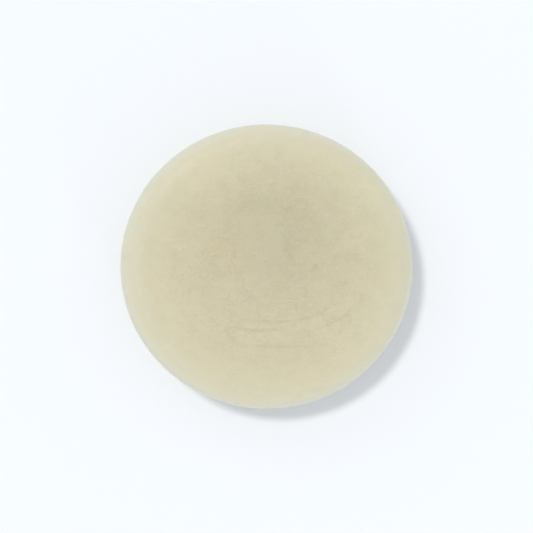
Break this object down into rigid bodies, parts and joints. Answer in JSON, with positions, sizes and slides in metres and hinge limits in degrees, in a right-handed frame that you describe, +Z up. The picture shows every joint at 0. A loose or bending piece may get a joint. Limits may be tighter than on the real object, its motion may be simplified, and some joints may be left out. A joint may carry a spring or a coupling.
{
  "type": "shaving soap puck",
  "caption": "Round, slightly oval puck of hard shaving soap with an eased top edge, a faintly sunken top face, gently tapered side and flat base.",
  "frame": {"origin": "middle of the flat base that the puck stands on", "axes": "+Z up, from the base to the poured top face; +X along the slightly longer width, towards the right when seen from the front; +Y towards the back"},
  "size_m": [0.07, 0.068, 0.025],
  "materials": {
    "soap": "smooth poured hard soap, satin, slightly translucent, warm ivory"
  },
  "bodies": {
    "root": {"soap_puck": "soap"}
  },
  "joints": []
}
